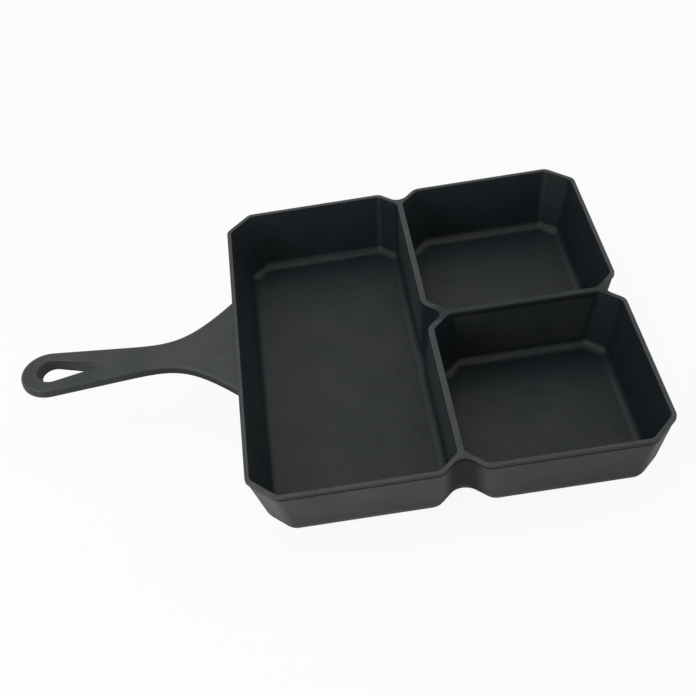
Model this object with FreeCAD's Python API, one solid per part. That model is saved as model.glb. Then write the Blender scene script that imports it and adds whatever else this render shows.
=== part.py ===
import FreeCAD, Part
import math
import os
from collections import namedtuple
from FreeCAD import Vector

# A divided frying pan, cast as one piece with its handle.
# Millimetres, +Z up. The origin is the middle of the underside, where the pan rests.
# +X points away from the handle and +Y to the back of the pan.

# Body, measured over the rim bead
BODY_WIDTH = 300.0
BODY_DEPTH = 326.0
BODY_HEIGHT = 53.5

# Outer plan at the rim: cut corners, and a notch where two compartments meet
RIM_CHAMFER = 20.0
RIM_NOTCH = 15.2
RIM_CORNER_RADIUS = 8.5
RIM_VALLEY_RADIUS = 9.0

# Outer plan at the underside, which lies this far inside the rim
BASE_INSET = 11.5
BASE_CHAMFER = 16.5
BASE_NOTCH = 19.0
BASE_CORNER_RADIUS = 14.0
BASE_VALLEY_RADIUS = 10.5
BASE_EDGE_RADIUS = 15.5

# Bead round the rim, proud of the wall below it
BEAD_HEIGHT = 2.8
BEAD_OVERHANG = 0.8
RIM_ROUNDING = 0.7

# Outer walls and floor
RIM_WALL = 3.2
FLOOR_THICKNESS = 4.0
FLOOR_INSET = 15.4
FLOOR_FILLET = 7.0

# Dividing walls: the long wall runs front to back, the cross wall from it to the right
RIM_DIVIDER = 4.7
FLOOR_DIVIDER = 12.0
LONG_WALL_X = 0.0
CROSS_WALL_Y = -1.8

# Corners of the compartments
POCKET_RIM_RADIUS = 6.3
POCKET_FLOOR_RADIUS = 8.4
FLOOR_CHAMFER = 14.2
FLOOR_INNER_CHAMFER = 14.7
FOLD_LEAD = 4.2

# Handle, a strap that flares into the left wall and rises a little away from it
HANDLE_REACH = 168.0
HANDLE_THICKNESS = 8.6
HANDLE_DROP = 0.9
HANDLE_RISE_ANGLE = 0.6
END_RADIUS = 22.0
NECK_REACH = 85.5
NECK_HALF_WIDTH = 15.6
NECK_PULL = 40.0
ROOT_LAP = 9.0
ROOT_HALF_WIDTH = 61.0
ROOT_ANGLE = 47.5
ROOT_PULL = 66.0
HANDLE_TOP_ROUNDING = 3.2
HANDLE_UNDER_ROUNDING = 2.5

# Haunch, the thickening under the handle's root that runs down into the wall
HAUNCH_LAP = 6.5
HAUNCH_DEPTH = 8.4
HAUNCH_REACH = 16.0
HAUNCH_WIDTH = 90.0
HAUNCH_FOOT_WIDTH = 75.0
HAUNCH_FOOT_INSET = 5.5
HAUNCH_TAPER = 14.0
HAUNCH_ROUNDING = 4.0

# Hanging hole, a teardrop that shortens on its way down, so that its tip is a thumb groove
HOLE_MARGIN = 12.2
HOLE_RADIUS = 12.0
HOLE_LENGTH = 56.0
HOLE_TIP_RADIUS = 1.8
HOLE_UNDER_MARGIN = 17.0
HOLE_UNDER_RADIUS = 9.0
HOLE_UNDER_LENGTH = 31.0
HOLE_UNDER_TIP_RADIUS = 1.4
HOLE_ROUNDING = 1.2

# How far a cutting solid passes the surface that it opens, and how exactly two heights must agree
CUT_OVERRUN = 1.0
HEIGHT_TOLERANCE = 0.001

# Worked out from the sizes above
HALF_WIDTH = BODY_WIDTH / 2
HALF_DEPTH = BODY_DEPTH / 2
BEAD_FOOT_Z = BODY_HEIGHT - BEAD_HEIGHT
HANDLE_TOP_Z = BODY_HEIGHT - HANDLE_DROP
HANDLE_UNDER_Z = HANDLE_TOP_Z - HANDLE_THICKNESS
NECK_X = -HALF_WIDTH - NECK_REACH
END_X = -HALF_WIDTH - HANDLE_REACH
# What a 45 degree corner loses, and a notch gains, when its outline moves inward by one
CHAMFER_LOSS = 2.0 - math.sqrt(2.0)
NOTCH_GAIN = math.sqrt(2.0) - 1.0

# Where a compartment's right side comes in the list of its edges
RIGHT_SIDE = 5

# Plan sizes of the compartments at one height
Level = namedtuple("Level", "z inset divider chamfer inner_chamfer radius fold")
FLOOR = Level(
    FLOOR_THICKNESS, FLOOR_INSET, FLOOR_DIVIDER, FLOOR_CHAMFER, FLOOR_INNER_CHAMFER, POCKET_FLOOR_RADIUS, 0
)
# At the rim the walls keep their thickness along the cut corners and the notches, and the fold keeps
# the long wall's thickness along the corners of the two small compartments
RIM_INNER_CHAMFER = RIM_NOTCH + NOTCH_GAIN * RIM_WALL - RIM_DIVIDER / 2
RIM_FOLD = RIM_INNER_CHAMFER + RIM_DIVIDER + RIM_DIVIDER / 2 - math.sqrt(2.0) * RIM_DIVIDER
RIM = Level(
    BODY_HEIGHT,
    RIM_WALL,
    RIM_DIVIDER,
    RIM_CHAMFER - CHAMFER_LOSS * RIM_WALL,
    RIM_INNER_CHAMFER,
    POCKET_RIM_RADIUS,
    RIM_FOLD,
)


def bend(before, corner, after, radius):
    """Arc that rounds one corner of an outline."""
    back = (before - corner).normalize()
    ahead = (after - corner).normalize()
    half_angle = back.getAngle(ahead) / 2
    bisector = (back + ahead).normalize()
    centre = corner + bisector * (radius / math.sin(half_angle))
    reach = radius / math.tan(half_angle)
    return Part.Arc(corner + back * reach, centre - bisector * radius, corner + ahead * reach).toShape()


def outline_edges(corners, z):
    """Edges at height z, counterclockwise through corners given as (x, y, radius): each bend, then its side."""
    points = [Vector(x, y, z) for x, y, _ in corners]
    bends = [
        bend(points[i - 1], points[i], points[(i + 1) % len(points)], corners[i][2])
        for i in range(len(points))
    ]
    edges = []
    for i, edge in enumerate(bends):
        following = bends[(i + 1) % len(bends)]
        edges += [edge, Part.makeLine(edge.Vertexes[-1].Point, following.Vertexes[0].Point)]
    return edges


def solid_from(faces):
    """Solid closed by the given faces, its inside being the side with volume."""
    solid = Part.Solid(Part.Shell(faces))
    return solid if solid.Volume > 0 else solid.reversed()


def skin(lower, upper):
    """Solid whose walls run straight between two outlines that have the same number of edges."""
    walls = [Part.makeRuledSurface(low, high) for low, high in zip(lower.Edges, upper.Edges)]
    return solid_from(walls + [Part.Face(lower), Part.Face(upper)])


def lies_at(item, z):
    """Whether an edge or a face lies wholly at height z."""
    box = item.BoundBox
    return abs(box.ZMin - z) < HEIGHT_TOLERANCE and abs(box.ZMax - z) < HEIGHT_TOLERANCE


def edges_at(shape, z):
    """Edges of a shape at height z."""
    return [edge for edge in shape.Edges if lies_at(edge, z)]


def opening_edges(shape, z):
    """Edges round the openings in a shape's flat face at height z, without that face's outer edges."""
    face = max((face for face in shape.Faces if lies_at(face, z)), key=lambda face: face.Area)
    return [edge for wire in face.Wires if not wire.isSame(face.OuterWire) for edge in wire.Edges]


def body_outline(z, inset, chamfer, notch, corner_radius, valley_radius):
    """Outer plan of the pan at height z."""
    x = HALF_WIDTH - inset
    y = HALF_DEPTH - inset
    return Part.Wire(outline_edges([
        (-x + chamfer, -y, corner_radius),
        (LONG_WALL_X - notch, -y, corner_radius),
        (LONG_WALL_X, -y + notch, valley_radius),
        (LONG_WALL_X + notch, -y, corner_radius),
        (x - chamfer, -y, corner_radius),
        (x, -y + chamfer, corner_radius),
        (x, CROSS_WALL_Y - notch, corner_radius),
        (x - notch, CROSS_WALL_Y, valley_radius),
        (x, CROSS_WALL_Y + notch, corner_radius),
        (x, y - chamfer, corner_radius),
        (x - chamfer, y, corner_radius),
        (LONG_WALL_X + notch, y, corner_radius),
        (LONG_WALL_X, y - notch, valley_radius),
        (LONG_WALL_X - notch, y, corner_radius),
        (-x + chamfer, y, corner_radius),
        (-x, y - chamfer, corner_radius),
        (-x, -y + chamfer, corner_radius),
    ], z))


def rim_outline(z, inset):
    """Plan of the rim, moved inward by inset, with its arcs about the same centres."""
    return body_outline(
        z,
        inset,
        RIM_CHAMFER - CHAMFER_LOSS * inset,
        RIM_NOTCH + NOTCH_GAIN * inset,
        RIM_CORNER_RADIUS - inset,
        RIM_VALLEY_RADIUS + inset,
    )


def pocket_edges(x0, x1, y0, y1, chamfers, level):
    """Plan of a compartment with cut corners, given from the front left one round to the back left one."""
    front_left, front_right, back_right, back_left = chamfers
    return outline_edges([
        (x0 + front_left, y0, level.radius),
        (x1 - front_right, y0, level.radius),
        (x1, y0 + front_right, level.radius),
        (x1, y1 - back_right, level.radius),
        (x1 - back_right, y1, level.radius),
        (x0 + back_left, y1, level.radius),
        (x0, y1 - back_left, level.radius),
        (x0, y0 + front_left, level.radius),
    ], level.z)


def front_pocket(level):
    """Plan of the small compartment at the front right."""
    inner = level.inner_chamfer
    return Part.Wire(pocket_edges(
        LONG_WALL_X + level.divider / 2,
        HALF_WIDTH - level.inset,
        level.inset - HALF_DEPTH,
        CROSS_WALL_Y - level.divider / 2,
        (inner, level.chamfer, inner, inner),
        level,
    ))


def back_pocket(level):
    """Plan of the small compartment at the back right."""
    inner = level.inner_chamfer
    return Part.Wire(pocket_edges(
        LONG_WALL_X + level.divider / 2,
        HALF_WIDTH - level.inset,
        CROSS_WALL_Y + level.divider / 2,
        HALF_DEPTH - level.inset,
        (inner, inner, level.chamfer, inner),
        level,
    ))


def fold_edge(x, level):
    """The long wall's left face where it folds into the corner between the two small compartments."""
    depth = level.fold
    half_poles = [
        (0, -RIM_FOLD - 2 * FOLD_LEAD),
        (0, -RIM_FOLD - FOLD_LEAD),
        (0, -RIM_FOLD),
        (depth / 2, -RIM_FOLD / 2),
    ]
    poles = half_poles + [(depth, 0)] + [(out, -along) for out, along in reversed(half_poles)]
    curve = Part.BSplineCurve()
    curve.buildFromPoles([Vector(x + out, CROSS_WALL_Y + along, level.z) for out, along in poles])
    return curve.toShape()


def long_pocket(level):
    """Plan of the long compartment on the left. The fold in its right side fades out at the floor."""
    x1 = LONG_WALL_X - level.divider / 2
    inner = level.inner_chamfer
    edges = pocket_edges(
        level.inset - HALF_WIDTH,
        x1,
        level.inset - HALF_DEPTH,
        HALF_DEPTH - level.inset,
        (level.chamfer, inner, inner, level.chamfer),
        level,
    )
    fold = fold_edge(x1, level)
    right_side = edges[RIGHT_SIDE]
    edges[RIGHT_SIDE:RIGHT_SIDE + 1] = [
        Part.makeLine(right_side.Vertexes[0].Point, fold.Vertexes[0].Point),
        fold,
        Part.makeLine(fold.Vertexes[-1].Point, right_side.Vertexes[-1].Point),
    ]
    return Part.Wire(edges)


def pocket_tools(plan):
    """Cutting solids of one compartment: its inside with a rounded floor edge, and the way out above it."""
    inside = skin(plan(FLOOR), plan(RIM))
    inside = inside.makeFillet(FLOOR_FILLET, edges_at(inside, FLOOR.z))
    return [inside, Part.Face(plan(RIM)).extrude(Vector(0, 0, CUT_OVERRUN))]


def build_shell():
    """The flared body and its rim bead, still solid inside."""
    base = body_outline(0, BASE_INSET, BASE_CHAMFER, BASE_NOTCH, BASE_CORNER_RADIUS, BASE_VALLEY_RADIUS)
    body = skin(base, rim_outline(BEAD_FOOT_Z, BEAD_OVERHANG))
    body = body.makeFillet(BASE_EDGE_RADIUS, edges_at(body, 0))
    bead = Part.Face(rim_outline(BEAD_FOOT_Z, 0)).extrude(Vector(0, 0, BEAD_HEIGHT))
    bead = bead.makeFillet(RIM_ROUNDING, edges_at(bead, BODY_HEIGHT))
    return body.fuse(bead)


def tangent_point(point, centre, radius):
    """Where a line from a point in front of a circle, at +X of it, touches the circle's +Y side."""
    along = centre - point
    spread = math.acos(radius / along.Length)
    angle = math.atan2(-along.y, -along.x) + spread
    return centre + Vector(math.cos(angle), math.sin(angle), 0) * radius


def mirrored(point):
    """The same point on the handle's other side."""
    return Vector(point.x, -point.y, point.z)


def handle_outline(z):
    """Plan of the handle at height z: root in the wall, flare, strap and round end."""
    end_centre = Vector(END_X + END_RADIUS, 0, z)
    neck = Vector(NECK_X, NECK_HALF_WIDTH, z)
    touch = tangent_point(neck, end_centre, END_RADIUS)
    root = Vector(-HALF_WIDTH + ROOT_LAP, ROOT_HALF_WIDTH, z)
    angle = math.radians(ROOT_ANGLE)
    neck_pole = neck + (neck - touch).normalize() * NECK_PULL
    root_pole = root - Vector(math.cos(angle), math.sin(angle), 0) * ROOT_PULL
    poles = [neck, neck_pole, root_pole, root]
    upper, lower = Part.BezierCurve(), Part.BezierCurve()
    upper.setPoles(poles)
    lower.setPoles([mirrored(pole) for pole in reversed(poles)])
    tip = Vector(END_X, 0, z)
    return Part.Wire([
        upper.toShape(),
        Part.makeLine(neck, touch),
        Part.Arc(touch, tip, mirrored(touch)).toShape(),
        Part.makeLine(mirrored(touch), mirrored(neck)),
        lower.toShape(),
        Part.makeLine(mirrored(root), root),
    ])


def teardrop(margin, radius, length, tip_radius, z):
    """Closed wire round a large circle near the handle's end and a small one towards the pan."""
    left = Vector(END_X + margin, 0, z)
    big_centre = left + Vector(radius, 0, 0)
    small_centre = left + Vector(length - tip_radius, 0, 0)
    angle = math.acos((radius - tip_radius) / (small_centre.x - big_centre.x))
    side = Vector(math.cos(angle), math.sin(angle), 0)
    big_touch, small_touch = big_centre + side * radius, small_centre + side * tip_radius
    right = left + Vector(length, 0, 0)
    return Part.Wire([
        Part.Arc(mirrored(small_touch), right, small_touch).toShape(),
        Part.makeLine(small_touch, big_touch),
        Part.Arc(big_touch, left, mirrored(big_touch)).toShape(),
        Part.makeLine(mirrored(big_touch), mirrored(small_touch)),
    ])


def haunch_outline(z, left, half_width):
    """Plan of the haunch at height z, wider in the wall than under the handle."""
    root = Vector(-HALF_WIDTH + HAUNCH_LAP, half_width, z)
    tip = Vector(left, half_width - HAUNCH_TAPER, z)
    return Part.makePolygon([root, tip, mirrored(tip), mirrored(root), root])


def build_haunch():
    """The haunch, its top hidden in the handle and its foot in the wall."""
    foot_z = HANDLE_UNDER_Z - HAUNCH_DEPTH
    foot = haunch_outline(foot_z, -HALF_WIDTH + HAUNCH_FOOT_INSET, HAUNCH_FOOT_WIDTH / 2)
    top = haunch_outline(HANDLE_UNDER_Z + CUT_OVERRUN, -HALF_WIDTH - HAUNCH_REACH, HAUNCH_WIDTH / 2)
    haunch = skin(foot, top)
    outer_edges = [
        edge for edge in haunch.Edges
        if edge.BoundBox.ZLength > HAUNCH_DEPTH and edge.BoundBox.XMin < -HALF_WIDTH
    ]
    return haunch.makeFillet(HAUNCH_ROUNDING, outer_edges)


def build_handle():
    """The handle with its hanging hole and its haunch."""
    strap = Part.Face(handle_outline(HANDLE_UNDER_Z)).extrude(Vector(0, 0, HANDLE_THICKNESS))
    for z, radius in ((HANDLE_TOP_Z, HANDLE_TOP_ROUNDING), (HANDLE_UNDER_Z, HANDLE_UNDER_ROUNDING)):
        outer_edges = [edge for edge in edges_at(strap, z) if edge.BoundBox.XMin < -HALF_WIDTH]
        strap = strap.makeFillet(radius, outer_edges)
    top = teardrop(HOLE_MARGIN, HOLE_RADIUS, HOLE_LENGTH, HOLE_TIP_RADIUS, HANDLE_TOP_Z)
    under = teardrop(
        HOLE_UNDER_MARGIN, HOLE_UNDER_RADIUS, HOLE_UNDER_LENGTH, HOLE_UNDER_TIP_RADIUS, HANDLE_UNDER_Z
    )
    strap = strap.cut(skin(under, top))
    hole_edges = opening_edges(strap, HANDLE_TOP_Z) + opening_edges(strap, HANDLE_UNDER_Z)
    handle = strap.makeFillet(HOLE_ROUNDING, hole_edges).fuse(build_haunch())
    handle.rotate(Vector(-HALF_WIDTH, 0, HANDLE_TOP_Z), Vector(0, 1, 0), HANDLE_RISE_ANGLE)
    return handle


def build_pan():
    """The whole casting."""
    pan = build_shell().fuse(build_handle())
    for plan in (long_pocket, front_pocket, back_pocket):
        for tool in pocket_tools(plan):
            pan = pan.cut(tool)
    pan = pan.removeSplitter()
    return pan.makeFillet(RIM_ROUNDING, opening_edges(pan, BODY_HEIGHT)).Solids[0]


if __name__ == "__main__":
    os.makedirs("parts", exist_ok=True)
    build_pan().exportStep("parts/pan.step")
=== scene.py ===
"""The divided frying pan in a plain studio: cast-iron finish, floor, lamps and camera."""

import logging
from dataclasses import dataclass, field
from enum import Enum
from math import pi, radians

import bmesh
import bpy
from mathutils import Matrix, Vector

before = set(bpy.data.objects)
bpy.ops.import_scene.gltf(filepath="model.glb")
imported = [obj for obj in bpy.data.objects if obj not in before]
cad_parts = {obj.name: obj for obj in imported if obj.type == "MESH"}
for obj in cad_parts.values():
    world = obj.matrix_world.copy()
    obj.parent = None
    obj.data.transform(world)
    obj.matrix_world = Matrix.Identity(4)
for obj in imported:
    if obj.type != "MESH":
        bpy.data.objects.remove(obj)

log = logging.getLogger("divided_pan")

Colour = tuple[float, float, float]
Place = tuple[float, float, float]
Span = tuple[float, float]
Stops = tuple[tuple[float, Colour], ...]
Settings = dict[str, object]
Values = dict[int | str, object]

FRAME_PIXELS = 696
SENSOR_MM = 36.0
MATRIX_SIDE = 4
RIGHT_ANGLE = pi / 2
OPAQUE = 1.0
RAMP_END = 1.0
WHITE: Colour = (1.0, 1.0, 1.0)
MIDDLE = 0.5

# The places of a Mix node's sockets for colours.
MIX_SHARE = 0
MIX_FIRST = 6
MIX_SECOND = 7
MIX_COLOUR = 2


class Sum(Enum):
    """The named sums that a Math node works out."""

    ADD = "ADD"
    SUBTRACT = "SUBTRACT"
    MULTIPLY = "MULTIPLY"
    LARGER = "MAXIMUM"
    SIZE = "ABSOLUTE"


class Wire:
    """One output of a shader node, written in sums as if it were a number."""

    def __init__(self, bench: "Bench", socket: bpy.types.NodeSocket) -> None:
        """Keeps the bench that holds the node, and the node's output."""
        self.bench = bench
        self.socket = socket

    def sum(self, kind: Sum, first: "Wire | float", second: "Wire | float" = 0.0) -> "Wire":
        """Adds a Math node to the bench.

        Args:
            kind: which sum it works out.
            first: its first value.
            second: its second value, where the sum has one.

        Returns:
            The node's result.
        """
        return self.bench.node("ShaderNodeMath", {"operation": kind.value}, {0: first, 1: second})

    def __add__(self, other: "Wire | float") -> "Wire":
        """Adds."""
        return self.sum(Sum.ADD, self, other)

    def __radd__(self, other: float) -> "Wire":
        """Adds to a number."""
        return self.sum(Sum.ADD, other, self)

    def __sub__(self, other: "Wire | float") -> "Wire":
        """Takes away."""
        return self.sum(Sum.SUBTRACT, self, other)

    def __rsub__(self, other: float) -> "Wire":
        """Takes away from a number."""
        return self.sum(Sum.SUBTRACT, other, self)

    def __mul__(self, other: "Wire | float") -> "Wire":
        """Multiplies."""
        return self.sum(Sum.MULTIPLY, self, other)

    def __rmul__(self, other: float) -> "Wire":
        """Multiplies a number."""
        return self.sum(Sum.MULTIPLY, other, self)

    def __abs__(self) -> "Wire":
        """Drops the sign."""
        return self.sum(Sum.SIZE, self)

    def or_more(self, other: "Wire") -> "Wire":
        """Gives the larger of the two."""
        return self.sum(Sum.LARGER, self, other)

    def above(self, span: Span) -> "Wire":
        """Rises smoothly from 0 at the span's low end to 1 at its high end.

        Args:
            span: the values that give 0 and 1.

        Returns:
            The eased share.
        """
        values = {"Value": self, "From Min": span[0], "From Max": span[1]}
        return self.bench.node("ShaderNodeMapRange", {"interpolation_type": "SMOOTHSTEP"}, values)

    def below(self, span: Span) -> "Wire":
        """Falls smoothly from 1 at the span's low end to 0 at its high end.

        Args:
            span: the values that give 1 and 0.

        Returns:
            The eased share.
        """
        return 1.0 - self.above(span)


class Bench:
    """The nodes of one material or of the world, and the ways of adding to them."""

    def __init__(self, owner: bpy.types.Material | bpy.types.World) -> None:
        """Clears the owner's nodes.

        Args:
            owner: the material or world whose nodes these are.
        """
        owner.use_nodes = True
        self.tree = owner.node_tree
        self.tree.nodes.clear()

    def add(self, kind: str, settings: Settings, values: Values) -> bpy.types.Node:
        """Makes a node: its settings first, then the values or links of its sockets.

        Args:
            kind: the node's type.
            settings: its properties, and a ramp's stops under the name color_ramp.
            values: a number, a colour or a wire for each socket, by name or place.

        Returns:
            The node.
        """
        made = self.tree.nodes.new(kind)
        for name, setting in settings.items():
            if name == "color_ramp":
                self.set_stops(made.color_ramp, setting)
            else:
                setattr(made, name, setting)
        for name, value in values.items():
            if isinstance(value, Wire):
                self.tree.links.new(value.socket, made.inputs[name])
            else:
                made.inputs[name].default_value = value
        return made

    def node(
        self, kind: str, settings: Settings, values: Values, output: int | str = 0
    ) -> Wire:
        """Makes a node and gives one of its outputs.

        Args:
            kind: the node's type.
            settings: its properties, and a ramp's stops.
            values: a number, a colour or a wire for each socket.
            output: which output to give.

        Returns:
            The chosen output.
        """
        return Wire(self, self.add(kind, settings, values).outputs[output])

    def set_stops(self, ramp: bpy.types.ColorRamp, stops: Stops) -> None:
        """Gives a ramp its stops.

        Args:
            ramp: the ramp, which has two stops when it is new.
            stops: each stop's position and colour.
        """
        while len(ramp.elements) < len(stops):
            ramp.elements.new(RAMP_END)
        for element, (position, colour) in zip(ramp.elements, stops):
            element.position = position
            element.color = (*colour, OPAQUE)

    def grain(self, place: Wire, size: float, detail: float, roughness: float = MIDDLE) -> Wire:
        """Makes a cloudy noise.

        Args:
            place: where the noise is read.
            size: the width of its clouds, in metres.
            detail: how many finer layers it has.
            roughness: how strong the finer layers are.

        Returns:
            The noise, from 0 to 1 with its middle at a half.
        """
        values = {"Vector": place, "Scale": 1.0 / size, "Detail": detail, "Roughness": roughness}
        return self.node("ShaderNodeTexNoise", {"noise_dimensions": "3D"}, values)

    def shade(self, level: Wire, stops: Stops) -> Wire:
        """Turns a level into a colour.

        Args:
            level: the level, from 0 to 1.
            stops: the levels at which the colours are written, and the colours.

        Returns:
            The colour.
        """
        return self.node("ShaderNodeValToRGB", {"color_ramp": stops}, {"Fac": level})

    def tint(self, share: Wire, first: Wire, second: Wire | Colour) -> Wire:
        """Mixes two colours.

        Args:
            share: how much of the second colour shows.
            first: the colour at 0.
            second: the colour at 1.

        Returns:
            The mixed colour.
        """
        over = second if isinstance(second, Wire) else (*second, OPAQUE)
        values = {MIX_SHARE: share, MIX_FIRST: first, MIX_SECOND: over}
        return self.node("ShaderNodeMix", {"data_type": "RGBA"}, values, MIX_COLOUR)

    def emboss(self, height: Wire, depth: float, normal: Wire) -> Wire:
        """Raises the surface by a height.

        Args:
            height: how high each point stands, from 0 to 1.
            depth: the height of 1, in metres.
            normal: the normal so far.

        Returns:
            The embossed normal.
        """
        values = {"Distance": depth, "Height": height, "Normal": normal}
        return self.node("ShaderNodeBump", {}, values)

    def blend(self, share: Wire, first: Wire, second: Wire) -> Wire:
        """Mixes two shaders, from the first at 0 to the second at 1."""
        return self.node("ShaderNodeMixShader", {}, {0: share, 1: first, 2: second})

    def axis(self, vector: Wire, name: str) -> Wire:
        """Gives one axis of a vector."""
        return self.node("ShaderNodeSeparateXYZ", {}, {"Vector": vector}, name)

    def seen(self) -> Wire:
        """Tells the rays of the camera and of mirror images from those that carry light.

        Returns:
            1 for a ray of the camera or of a mirror image, else 0.
        """
        camera = self.node("ShaderNodeLightPath", {}, {}, "Is Camera Ray")
        mirror = self.node("ShaderNodeLightPath", {}, {}, "Is Glossy Ray")
        return camera.or_more(mirror)


@dataclass(frozen=True)
class Point:
    """What a finish reads of a point on the pan: where it is and how far it faces up."""

    place: Wire
    normal: Wire
    x: Wire
    y: Wire
    z: Wire
    upward: Wire

    @classmethod
    def on(cls, bench: Bench) -> "Point":
        """Reads the point by its Object coordinates and its normal.

        Args:
            bench: the finish's nodes.

        Returns:
            The point.
        """
        place = bench.node("ShaderNodeTexCoord", {}, {}, "Object")
        normal = bench.node("ShaderNodeNewGeometry", {}, {}, "Normal")
        x, y, z = (bench.axis(place, name) for name in "XYZ")
        return cls(place, normal, x, y, z, upward=bench.axis(normal, "Z"))


@dataclass(frozen=True)
class Zones:
    """Where the pan's faces lie.

    Each span fades a zone in or out. The slopes are shares by which a face looks up, from 0 for
    upright to 1 for flat, and all else is in metres of the pan's own frame.
    """

    handle_start: Span = (-0.1488, -0.1480)
    inner_slope: Span = (0.03, 0.12)
    inner_height: Span = (0.0526, 0.0533)
    top_height: Span = (0.0529, 0.0534)
    divider_reach_x: Span = (0.139, 0.143)
    divider_reach_y: Span = (0.151, 0.156)
    small_start: Span = (-0.001, 0.006)
    far_half: Span = (-0.020, 0.090)
    cross_wall_middle: float = -0.0018
    cross_wall_width: Span = (0.005, 0.010)
    notch_width: Span = (0.006, 0.020)
    notch_start_x: Span = (0.124, 0.130)
    notch_start_y: Span = (0.137, 0.143)
    notch_height: Span = (0.0515, 0.0530)
    # height under which the outer walls get darker with painted shade
    shaded_height: Span = (-0.004, 0.040)
    foot_height: Span = (0.001, 0.009)
    side_slope: Span = (0.10, 0.75)
    root_reach: Span = (-0.265, -0.180)
    hole_start: Span = (-0.3070, -0.3065)
    hole_end: Span = (-0.262, -0.260)
    hole_width: Span = (0.0125, 0.0135)
    edge_slope: Span = (0.35, 0.62)
    flat_slope: Span = (0.92, 0.99)
    edge_height: Span = (0.0500, 0.0505)
    crease_height: float = 0.0499
    crease_width: Span = (0.0010, 0.0018)
    crease_slope: Span = (0.3, 0.6)

    def body(self, point: Point) -> Wire:
        """Picks the body out of body and handle."""
        return point.x.above(self.handle_start)

    def inside(self, point: Point) -> Wire:
        """Picks the inner walls and the floors of the compartments."""
        leaning = point.upward.above(self.inner_slope)
        return leaning * point.z.below(self.inner_height) * self.body(point)

    def crest(self, point: Point) -> Wire:
        """Picks the flat top of the rim and of the dividers."""
        return point.z.above(self.top_height) * self.body(point)

    def divider_tops(self, point: Point) -> Wire:
        """Picks the tops of the two dividers."""
        across = abs(point.x).below(self.divider_reach_x) * abs(point.y).below(self.divider_reach_y)
        return point.z.above(self.top_height) * across

    def small_rims(self, point: Point) -> Wire:
        """Picks the rim round the two small compartments."""
        return self.crest(point) * point.x.above(self.small_start)

    def cross_wall_top(self, point: Point) -> Wire:
        """Picks the top of the short divider."""
        beside = abs(point.y - self.cross_wall_middle).below(self.cross_wall_width)
        return self.divider_tops(point) * point.x.above(self.small_start) * beside

    def notches(self, point: Point) -> Wire:
        """Picks the flanks of the three notches outside, where two compartments meet.

        Args:
            point: the point on the pan.

        Returns:
            The share of notch.
        """
        ends = abs(point.x).below(self.notch_width) * abs(point.y).above(self.notch_start_y)
        side = abs(point.y - self.cross_wall_middle).below(self.notch_width)
        side = side * point.x.above(self.notch_start_x)
        return (ends + side) * point.z.below(self.notch_height)

    def far_walls(self, point: Point) -> Wire:
        """Picks the outer walls, more and more away from the handle."""
        return point.x.above(self.far_half) * point.z.below(self.top_height)

    def low_walls(self, point: Point) -> Wire:
        """Picks the outer walls, more and more towards the underside."""
        return point.z.below(self.shaded_height) * self.body(point)

    def foot(self, point: Point) -> Wire:
        """Picks the rounding where the outer walls meet the underside."""
        return point.z.below(self.foot_height) * self.body(point)

    def handle_sides(self, point: Point) -> Wire:
        """Picks the sides of the handle."""
        return point.upward.below(self.side_slope) * (1.0 - self.body(point))

    def root_sides(self, point: Point) -> Wire:
        """Picks the sides of the handle, more and more towards the body."""
        return self.handle_sides(point) * point.x.above(self.root_reach)

    def hole_sides(self, point: Point) -> Wire:
        """Picks the sides of the hanging hole."""
        along = point.x.above(self.hole_start) * point.x.below(self.hole_end)
        return self.handle_sides(point) * along * abs(point.y).below(self.hole_width)

    def upper_edges(self, point: Point) -> Wire:
        """Picks the roundings beside the top faces."""
        rounded = point.upward.above(self.edge_slope) * point.upward.below(self.flat_slope)
        return rounded * point.z.above(self.edge_height)

    def crease(self, point: Point) -> Wire:
        """Picks the crease under the bead of the rim.

        Args:
            point: the point on the pan.

        Returns:
            The share of crease.
        """
        line = abs(point.z - self.crease_height).below(self.crease_width)
        outer = (1.0 - self.inside(point)) * self.body(point)
        return line * point.upward.below(self.crease_slope) * outer


@dataclass(frozen=True)
class CastGrain:
    """The relief that the sand mould leaves, and the cloudy patches of the seasoning."""

    patch_size: float = 0.034
    patch_layers: float = 4.0
    patch_roughness: float = 0.6
    wave_size: float = 0.016
    wave_layers: float = 1.0
    wave_depth: float = 0.00030
    pebble_size: float = 0.0015
    pebble_layers: float = 3.0
    pebble_depth: float = 0.00020
    sand_size: float = 0.0006
    sand_layers: float = 2.0
    sand_depth: float = 0.00008

    def patches(self, bench: Bench, point: Point) -> Wire:
        """Makes the broad patches."""
        return bench.grain(point.place, self.patch_size, self.patch_layers, self.patch_roughness)

    def pebbles(self, bench: Bench, point: Point) -> Wire:
        """Makes the coarse grain."""
        return bench.grain(point.place, self.pebble_size, self.pebble_layers)

    def sand(self, bench: Bench, point: Point) -> Wire:
        """Makes the fine grain."""
        return bench.grain(point.place, self.sand_size, self.sand_layers)

    def relief(self, bench: Bench, point: Point) -> Wire:
        """Embosses the waves, the coarse grain and the fine grain.

        Args:
            bench: the finish's nodes.
            point: where the relief is read.

        Returns:
            The normal with the relief on it.
        """
        waves = bench.grain(point.place, self.wave_size, self.wave_layers)
        normal = bench.emboss(waves, self.wave_depth, point.normal)
        normal = bench.emboss(self.pebbles(bench, point), self.pebble_depth, normal)
        return bench.emboss(self.sand(bench, point), self.sand_depth, normal)


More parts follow.
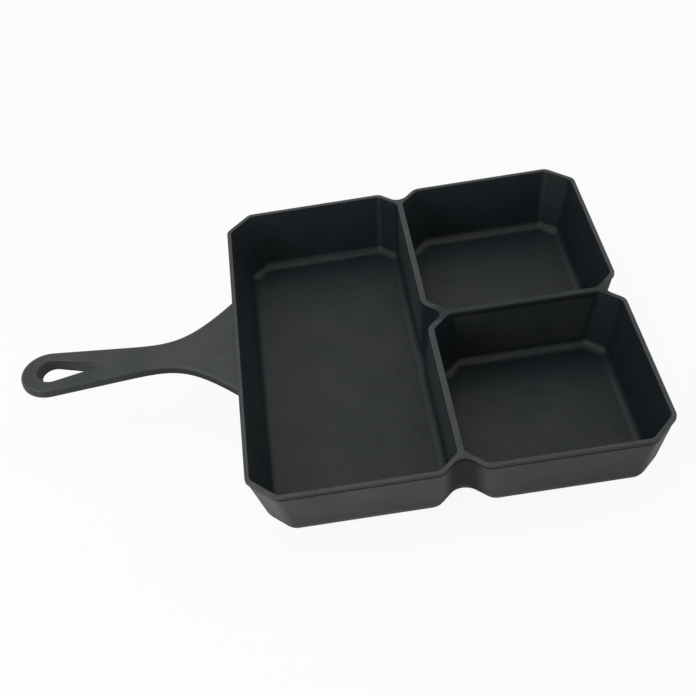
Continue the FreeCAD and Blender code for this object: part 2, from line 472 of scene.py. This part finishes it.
@dataclass(frozen=True)
class SeasonedIron:
    """Sand-cast iron, satin and pebbled by the sand.

    Outside it is dark grey, with painted shade in the notches, at the foot and towards the
    underside, away from the handle, and on the handle's sides, and a near-black painted shade in
    the crease under the rim's bead. Inside, baked oil has made it nearly black, and oil has run
    over the dividers and the rims of the small compartments. The crest of the rim and its
    roundings are painted a little brighter, partly as rubbed wear and partly as painted highlight.
    """

    name: str = "seasoned_cast_iron"
    zones: Zones = field(default_factory=Zones)
    cast: CastGrain = field(default_factory=CastGrain)
    iron: Stops = (
        (0.34, (0.0270, 0.0312, 0.0330)),
        (0.50, (0.0325, 0.0365, 0.0382)),
        (0.66, (0.0372, 0.0405, 0.0425)),
    )
    oil: Stops = (
        (0.34, (0.0040, 0.0072, 0.0090)),
        (0.50, (0.0060, 0.0094, 0.0112)),
        (0.66, (0.0082, 0.0116, 0.0130)),
    )
    # brighter colour: partly rubbed wear, partly painted highlight
    rubbed_and_highlit: Colour = (0.085, 0.089, 0.092)
    # painted shade for the outside: notches, underside, far walls, foot and handle sides
    painted_shade: Colour = (0.007, 0.008, 0.009)
    # near-black painted shade for the crease under the rim's bead
    crease_shade: Colour = (0.0040, 0.0042, 0.0045)
    crease_shade_share: float = 0.92
    bend: float = 1.33
    satin: float = 0.52
    oiled_satin: float = 0.46
    patch_sheen: float = 0.16
    sand_sheen: float = 0.10
    rubbed_sheen: float = 0.08
    # shares of painted shade on the outside
    notch_shade: float = 0.95
    low_shade: float = 0.40
    far_shade: float = 0.26
    foot_shade: float = 0.40
    side_shade: float = 0.20
    root_shade: float = 0.65
    hole_shade: float = 0.60
    shade_roughness: float = 0.25
    divider_oil: float = 0.25
    small_rim_oil: float = 0.20
    cross_wall_oil: float = 0.70
    # shares of the brighter colour: partly rubbed wear, partly painted highlight
    edge_wear_and_highlight: float = 0.32
    crest_wear_and_highlight: float = 0.36
    scuff_least: float = 0.35
    scuff_span: Span = (0.40, 0.62)

    def material(self) -> bpy.types.Material:
        """Makes the finish.

        Returns:
            The material, on Object coordinates.
        """
        material = bpy.data.materials.new(self.name)
        bench = Bench(material)
        point = Point.on(bench)
        patches = self.cast.patches(bench, point)
        inside = self.zones.inside(point)
        outside = 1.0 - inside
        spilt = self.overflow(point)
        worn_and_highlit = self.rub_and_highlight(bench, point) * outside * (1.0 - spilt)

        oil = bench.shade(patches, self.oil)
        # painted shade: the outside darker in the notches, low down, away from the handle and on
        # the handle's sides
        shade_share = self.painted_shade_share(point) * outside
        colour = bench.tint(shade_share, bench.shade(patches, self.iron), self.painted_shade)
        colour = bench.tint(inside, colour, oil)
        colour = bench.tint(spilt, colour, oil)
        # partly rubbed wear, partly painted highlight on the rim's crest and roundings
        colour = bench.tint(worn_and_highlit, colour, self.rubbed_and_highlit)
        # Painted shade in the crease under the bead: near-black metal, so that it mirrors next to
        # nothing.
        crease_shading = self.zones.crease(point) * self.crease_shade_share
        colour = bench.tint(crease_shading, colour, self.crease_shade)

        satin = self.satin + (self.oiled_satin - self.satin) * inside + self.shade_roughness * shade_share
        satin = satin - self.patch_sheen * (patches - MIDDLE) - self.rubbed_sheen * worn_and_highlit
        satin = satin + self.sand_sheen * (self.cast.sand(bench, point) - MIDDLE)

        values = {"Base Color": colour, "Roughness": satin, "Metallic": crease_shading}
        values |= {"IOR": self.bend, "Normal": self.cast.relief(bench, point)}
        surface = bench.node("ShaderNodeBsdfPrincipled", {}, values)
        bench.add("ShaderNodeOutputMaterial", {}, {"Surface": surface})
        return material

    def painted_shade_share(self, point: Point) -> Wire:
        """Works out how much painted shade lies on the outside.

        Args:
            point: the point on the pan.

        Returns:
            The share of painted shade.
        """
        zones = self.zones
        body = zones.notches(point) * self.notch_shade + zones.low_walls(point) * self.low_shade
        body = body + zones.far_walls(point) * self.far_shade + zones.foot(point) * self.foot_shade
        sides = zones.handle_sides(point) * self.side_shade
        sides = sides + zones.root_sides(point) * self.root_shade
        return body + sides + zones.hole_sides(point) * self.hole_shade

    def overflow(self, point: Point) -> Wire:
        """Works out how much oil has run over the dividers and the small rims.

        Args:
            point: the point on the pan.

        Returns:
            The share of oil.
        """
        spilt = self.zones.divider_tops(point) * self.divider_oil
        spilt = spilt + self.zones.small_rims(point) * self.small_rim_oil
        return spilt + self.zones.cross_wall_top(point) * self.cross_wall_oil

    def rub_and_highlight(self, bench: Bench, point: Point) -> Wire:
        """Works out how much brighter the iron is painted: partly rubbed wear, partly painted
        highlight.

        Args:
            bench: the finish's nodes.
            point: the point on the pan.

        Returns:
            The share of rubbed wear and painted highlight.
        """
        pebbles = self.cast.pebbles(bench, point).above(self.scuff_span)
        scuffs = self.scuff_least + (1.0 - self.scuff_least) * pebbles
        rubbed_and_highlit = self.zones.upper_edges(point) * self.edge_wear_and_highlight
        rubbed_and_highlit = rubbed_and_highlit + self.zones.crest(point) * self.crest_wear_and_highlight
        return rubbed_and_highlit * scuffs


@dataclass(frozen=True)
class PaleFloor:
    """Matt pale board, one-sided.

    From above it shows nearly white and keeps some of the pan's shadow. From below it is clear.
    """

    name: str = "pale_floor"
    board: Colour = (0.82, 0.82, 0.82)
    lit_share: float = 0.92

    def material(self) -> bpy.types.Material:
        """Makes the finish.

        Returns:
            The material.
        """
        material = bpy.data.materials.new(self.name)
        bench = Bench(material)
        matt = bench.node("ShaderNodeBsdfDiffuse", {}, {"Color": (*self.board, OPAQUE)})
        lit = bench.node("ShaderNodeEmission", {}, {"Color": (*WHITE, OPAQUE)})
        above = bench.blend(bench.seen() * self.lit_share, matt, lit)
        clear = bench.node("ShaderNodeBsdfTransparent", {}, {})
        below = bench.node("ShaderNodeNewGeometry", {}, {}, "Backfacing")
        surface = bench.blend(below, above, clear)
        bench.add("ShaderNodeOutputMaterial", {}, {"Surface": surface})
        return material


@dataclass
class Casting:
    """The pan itself, one casting: the three compartments, their walls, the rim and the handle."""

    node: str = "pan"
    finish: SeasonedIron = field(default_factory=SeasonedIron)

    def dress(self) -> bpy.types.Object:
        """Gives the carried-over casting its finish.

        Returns:
            The casting's object.
        """
        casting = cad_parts[self.node]
        iron = self.finish.material()
        for slot in casting.material_slots:
            slot.material = iron
        return casting


@dataclass(frozen=True)
class Softbox:
    """A large soft lamp."""

    name: str
    place: Place
    aim: Place
    width: float
    height: float
    watts: float

    def light(self) -> None:
        """Hangs the lamp and turns it to its aim."""
        lamp = bpy.data.lights.new(self.name, "AREA")
        lamp.shape = "RECTANGLE"
        lamp.size = self.width
        lamp.size_y = self.height
        lamp.energy = self.watts
        hung = bpy.data.objects.new(self.name, lamp)
        hung.location = self.place
        towards = Vector(self.aim) - Vector(self.place)
        hung.rotation_euler = towards.to_track_quat("-Z", "Y").to_euler()
        bpy.context.scene.collection.objects.link(hung)


@dataclass(frozen=True)
class Studio:
    """The floor, the room's own light and the lamps."""

    floor_reach: float = 6.0
    floor_sides: int = 64
    floor_gap: float = 0.0003
    room_level: float = 0.38
    room_colour: Colour = (0.96, 0.98, 1.0)
    finish: PaleFloor = field(default_factory=PaleFloor)
    lamps: tuple[Softbox, ...] = (
        Softbox(
            name="left_softbox",
            place=(-0.88, -0.62, 0.52),
            aim=(-0.08, -0.10, 0.0),
            width=0.8,
            height=0.6,
            watts=6.2,
        ),
        Softbox(
            name="right_softbox",
            place=(1.3, 0.3, 0.7),
            aim=(0.10, 0.0, 0.0),
            width=1.0,
            height=0.8,
            watts=4.5,
        ),
        Softbox(
            name="top_softbox",
            place=(-0.3, 0.6, 1.7),
            aim=(0.0, 0.0, 0.0),
            width=1.4,
            height=1.4,
            watts=7.5,
        ),
    )

    def lay_floor(self) -> None:
        """Lays the round floor just under the pan's base."""
        shape = bmesh.new()
        drop = Matrix.Translation((0.0, 0.0, -self.floor_gap))
        bmesh.ops.create_circle(
            shape, cap_ends=True, segments=self.floor_sides, radius=self.floor_reach, matrix=drop
        )
        mesh = bpy.data.meshes.new("floor")
        shape.to_mesh(mesh)
        shape.free()
        mesh.materials.append(self.finish.material())
        floor = bpy.data.objects.new("floor", mesh)
        bpy.context.scene.collection.objects.link(floor)

    def light_room(self) -> None:
        """Fills the room with an even light, and makes it white to the camera."""
        room = bpy.data.worlds.new("room")
        bpy.context.scene.world = room
        bench = Bench(room)
        values = {"Color": (*self.room_colour, OPAQUE), "Strength": self.room_level}
        even = bench.node("ShaderNodeBackground", {}, values)
        white = bench.node("ShaderNodeBackground", {}, {"Color": (*WHITE, OPAQUE)})
        surface = bench.blend(bench.seen(), even, white)
        bench.add("ShaderNodeOutputWorld", {}, {"Surface": surface})

    def build(self) -> None:
        """Lays the floor, lights the room and hangs the lamps."""
        self.lay_floor()
        self.light_room()
        for lamp in self.lamps:
            lamp.light()


@dataclass(frozen=True)
class Viewpoint:
    """Where the camera stands in metres, how it is turned in degrees, and its lens in pixels."""

    place: Place = (-0.0776, -0.7384, 0.7106)
    azimuth: float = 1.324
    elevation: float = 40.205
    roll: float = -9.657
    focal_pixels: float = 1280.5
    centre_pixels: tuple[float, float] = (300.0, 300.0)

    def build(self) -> None:
        """Puts the camera in its place and makes it the scene's own."""
        lens = bpy.data.cameras.new("camera")
        lens.sensor_width = SENSOR_MM
        lens.lens = self.focal_pixels * SENSOR_MM / FRAME_PIXELS
        middle = FRAME_PIXELS / 2
        lens.shift_x = (middle - self.centre_pixels[0]) / FRAME_PIXELS
        lens.shift_y = (self.centre_pixels[1] - middle) / FRAME_PIXELS
        camera = bpy.data.objects.new("camera", lens)
        turn = Matrix.Rotation(radians(self.azimuth), MATRIX_SIDE, "Z")
        tip = Matrix.Rotation(RIGHT_ANGLE - radians(self.elevation), MATRIX_SIDE, "X")
        roll = Matrix.Rotation(radians(self.roll), MATRIX_SIDE, "Z")
        camera.matrix_world = Matrix.Translation(self.place) @ turn @ tip @ roll
        bpy.context.scene.collection.objects.link(camera)
        bpy.context.scene.camera = camera


def main() -> None:
    """Dresses the pan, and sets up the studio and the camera."""
    logging.basicConfig(level=logging.INFO, format="%(message)s")
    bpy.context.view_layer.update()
    bpy.context.scene.view_settings.view_transform = "Standard"
    casting = Casting().dress()
    log.info("casting %s: finish %s", casting.name, casting.material_slots[0].material.name)
    studio = Studio()
    studio.build()
    log.info("studio: floor and %d lamps", len(studio.lamps))
    Viewpoint().build()
    log.info("camera set")


if __name__ == "__main__":
    main()
